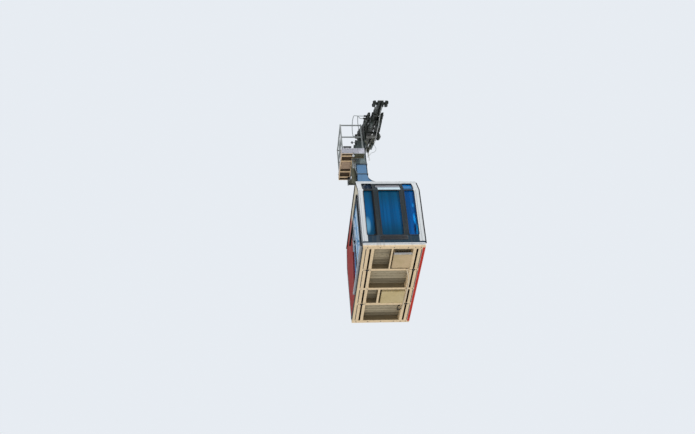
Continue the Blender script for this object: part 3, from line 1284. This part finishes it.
class CABIN_OT_carriage_fittings(Operator):
    """Add ribs, bolts, brake cylinders, pipes, straps and guide rollers"""

    bl_idname = "cabin.carriage_fittings"
    bl_label = "Carriage fittings"

    def execute(self, context):
        falls = Matrix.Translation((0, 0.35, BEAM_TOP)) @ Matrix.Rotation(-radians(8.165), 4, "X")
        rises = Matrix.Translation((0, 0.25, -0.0897)) @ Matrix.Rotation(radians(9.812), 4, "X")
        ribs = []
        for side in SIDES:
            x0, x1 = side * BEAM_X, side * (BEAM_X + 0.016)
            for t in (-1.12, -0.62, -0.42, 0.42, 0.62, 1.12):
                rib = block((x0, t - 0.007, lower_edge(t) + 0.016), (x1, t + 0.007, upper_edge(t) - 0.016), 0.003)
                ribs.append(pocket(rib, (side, 0, 0), 0.004, 0.001))
            ribs.append(block((x0, -0.36, 0.316), (x1, 0.36, BEAM_TOP), 0.003))
            for strip in (moved(block((x0, 0.0, -0.014), (x1, 1.162, 0.0), 0.003), falls),
                          moved(block((x0, 0.0, 0.0), (x1, 0.761, 0.012), 0.003), rises)):
                ribs += [strip, mirror_y(strip)]
        rope_place(ribs, "beam_ribs", "carriage")
        bolts = [row(bolt(0.012), [(x, t, 0.450) for x in (-0.225, -0.12, 0.12, 0.225) for t in (-0.11, 0.11)], UP),
                 row(bolt(0.012), [(x, -1.86, 0.095) for x in (-0.075, 0.075)], NEAR)]
        for side in SIDES:
            points = [(side * BEAM_X, t, n) for t in (-1.42, -1.28, -1.02, 1.02, 1.28, 1.42)
                      for n in (lower_edge(t) + 0.038, upper_edge(t) - 0.036)]
            bolts.append(row(bolt(0.012), points, (side, 0, 0)))
        rope_place(bolts, "carriage_bolts", "dull")
        centre = ROPE.inverted() @ PIVOT
        hub = [row(bolt(0.010), [(x, centre.y + y, centre.z + z) for y, z in circle(count, radius)], RIGHT)
               for x, count, radius in ((0.3133, 6, 0.070), (0.283, 8, 0.112))]
        hub.append(rod((0.3125, centre.y, centre.z), (0.332, centre.y, centre.z), 0.040, 24, 0.3))
        rope_place(hub, "pivot_bolts", "dull")

        cylinders, rods = [], []
        for x in (-0.132, 0.132):
            for t0, t1 in ((-1.30, -0.92), (0.78, 1.14)):
                end = t1 + 0.14
                cylinders.append(rod((x, t0, BRAKE_N), (x, t1, BRAKE_N), 0.040, 24))
                cylinders += [block((x - 0.048, t, -0.178), (x + 0.048, t + 0.030, -0.118))
                              for t in (t0 + 0.04, t1 - 0.07)]
                rods += [rod((x, t1, BRAKE_N), (x, end, BRAKE_N), 0.014, 14),
                         rod((x - 0.03, end, BRAKE_N), (x + 0.03, end, BRAKE_N), 0.024, 16),
                         block((x - 0.010, end - 0.015, BRAKE_N), (x + 0.010, end + 0.015, -0.118))]
        rope_place(cylinders, "brake_cylinders", "drum")
        rope_place(rods, "brake_rods", "dull")
        liners = [block((x - 0.004, t0, -0.122), (x + 0.004, t1, -0.099), 0.002)
                  for x in (-0.030, 0.030) for t0, t1 in ((-1.38, -0.42), (0.42, 1.23))]
        rope_place(liners, "brake_liners", "dull")
        line = pipe([(0.062, -2.58, -0.058), (0.064, -2.50, -0.082), (0.074, -2.10, -0.088), (0.088, -1.72, -0.150),
                     (0.100, -1.42, -0.222), (0.116, -0.92, -0.226), (0.132, -0.45, -0.262), (0.143, 0.00, -0.270),
                     (0.150, 0.35, -0.250), (0.157, 0.60, -0.165), (0.158, 0.63, -0.118)], 0.012, 8)
        rope_place(line, "brake_line", "bright")
        rope_place(rod((0.010, -0.170, -0.128), (0.010, -0.178, -0.156), 0.040, 28, 0.25), "keeper_boss", "bright")

        rollers, crown = [], []
        for side in SIDES:
            for t in (-2.79, -2.55):
                rollers.append(rod((side * 0.234, t, 0.002), (side * 0.258, t, 0.002), 0.058, 28, 0.15))
                crown.append(rod((side * 0.250, t, 0.002), (side * 0.268, t, 0.002), 0.016, 14))
        crown.append(pocket(block((-0.085, -2.80, 0.058), (0.085, -2.10, 0.084), 0.010), UP, 0.02, 0.006))
        crown.append(block((-0.094, -2.866, 0.037), (0.094, -2.846, 0.060), 0.006))
        rope_place(rollers, "guide_rollers", "rubber")
        rope_place(crown, "guide_crown", "bright")
        straps = []
        for x, t, n, drop, wide in ((-0.055, 1.245, -0.118, 0.20, 0.030), (0.080, 1.83, -0.096, 0.20, 0.026),
                                    (0.112, 1.83, -0.096, 0.36, 0.034)):
            top = ROPE @ Vector((x, t, n))
            straps.append(block(top - Vector((wide / 2, 0.005, drop)), top + Vector((wide / 2, 0.005, 0.010)), 0.002))
            straps.append(ring(top - Vector((0, 0, drop + 0.020)), ALONG, 0.026, 0.008, 20, 8))
        place(straps, "tow_straps", "strap", "carriage")
        unit = [rod((x, 2.52, 0.155), (x, 2.64, 0.155), 0.030, 18, 0.3) for x in (-0.450, -0.375, -0.300)]
        unit.append(pocket(block((-0.515, 2.56, -0.09), (-0.500, 3.01, 0.08)), LEFT, 0.02, 0.006))
        unit += [rod((-0.36, t0, -0.02), (-0.36, t1, -0.02), 0.070, 24) for t0, t1 in ((2.45, 2.40), (3.12, 3.17))]
        unit += [block((-0.47, t, -0.150), (-0.25, t + 0.03, -0.138)) for t in (2.55, 2.70, 2.85, 3.00)]
        rope_place(unit, "unit_fittings", "drum")
        return {"FINISHED"}


class CABIN_OT_running_gear(Operator):
    """Add hub caps, spoke ribs and pin caps, each on the body that turns"""

    bl_idname = "cabin.running_gear"
    bl_label = "Running gear"

    def execute(self, context):
        def caps(t, x0, x1, radius, sides, lip=0.12):
            """A round cap on each side of an axle."""
            return [rod((side * x0, t, AXLE_N), (side * x1, t, AXLE_N), radius, sides, lip) for side in SIDES]

        def hub(t, reach):
            """A wheel's two hub plates, six studs on each side, and a bolt at each end of its axle."""
            web, raised = 0.0545, 0.0565
            parts = caps(t, web, 0.0600, 0.062, 28, 0.08)
            for side in SIDES:
                parts += [rod((side * web, t + y, AXLE_N + z), (side * raised, t + y, AXLE_N + z), 0.020, 16, 0.2)
                          for y, z in circle(6, 0.1)]
                parts.append(row(bolt(0.016), [(side * reach, t, AXLE_N)], (side, 0, 0)))
            return parts

        for i, t in enumerate(WHEEL_TS, start=1):
            rope_place(hub(t, 0.082), f"wheel_hub_{i}", "dull", f"wheel_{i}")
        for i, t in enumerate(TRUCK_TS, start=1):
            rope_place(hub(t, 0.260), f"truck_hub_{i}", "drum", f"truck_wheel_{i}")
        for i, t in enumerate(ROCKER_TS, start=1):
            rope_place(caps(t, 0.119, 0.128, 0.040, 20), f"rocker_caps_{i}", "dull", f"rocker_{i}")
        for name, t in (("near", -0.90), ("far", 0.90)):
            rope_place(caps(t, 0.2655, 0.276, 0.036, 24), f"equaliser_caps_{name}", "dull", f"equaliser_{name}")
        strips = []
        for side in SIDES:
            x0, x1 = side * 0.260, side * 0.268
            strips += [block((x0, 3.95, n), (x1, 6.05, n + 0.016), 0.003) for n in (0.046, 0.262)]
            strips += [block((x0, t - 0.05, 0.060), (x1, t - 0.034, 0.264), 0.003)
                       for t in (4.09, 4.57, 5.05, 5.53, 6.01)]
        rope_place(strips, "truck_strips", "carriage")
        return {"FINISHED"}


class CABIN_PT_panel(Panel):
    """Buttons and settings for the cabin"""

    bl_idname = "CABIN_PT_panel"
    bl_label = "Cable car cabin"
    bl_space_type = "VIEW_3D"
    bl_region_type = "UI"
    bl_category = "Cabin"

    def draw(self, context):
        for step in STEPS:
            self.layout.operator(step.bl_idname)
        for settings in (context.scene.cabin_sizes, context.scene.cabin_colours, context.scene.cabin_stage):
            for key in settings.__annotations__:
                self.layout.prop(settings, key)


STEPS = (
    CABIN_OT_stage, CABIN_OT_finishes, CABIN_OT_seals, CABIN_OT_end_fittings, CABIN_OT_side_trims,
    CABIN_OT_roof_fittings, CABIN_OT_underside, CABIN_OT_interior, CABIN_OT_hanger_fittings,
    CABIN_OT_platform_fittings, CABIN_OT_carriage_fittings, CABIN_OT_running_gear,
)
CLASSES = (CabinColours, CabinSizes, StageSettings, *STEPS, CABIN_PT_panel)


def register():
    for item in CLASSES:
        bpy.utils.register_class(item)
    bpy.types.Scene.cabin_colours = PointerProperty(type=CabinColours)
    bpy.types.Scene.cabin_sizes = PointerProperty(type=CabinSizes)
    bpy.types.Scene.cabin_stage = PointerProperty(type=StageSettings)


def unregister():
    del bpy.types.Scene.cabin_stage
    del bpy.types.Scene.cabin_sizes
    del bpy.types.Scene.cabin_colours
    for item in reversed(CLASSES):
        bpy.utils.unregister_class(item)


def main():
    """Dresses the cabin."""
    register()
    bpy.ops.cabin.finishes()
    bpy.ops.cabin.stage()
    bpy.ops.cabin.seals()
    bpy.ops.cabin.end_fittings()
    bpy.ops.cabin.side_trims()
    bpy.ops.cabin.roof_fittings()
    bpy.ops.cabin.underside()
    bpy.ops.cabin.interior()
    bpy.ops.cabin.hanger_fittings()
    bpy.ops.cabin.platform_fittings()
    bpy.ops.cabin.carriage_fittings()
    bpy.ops.cabin.running_gear()


if __name__ == "__main__":
    main()
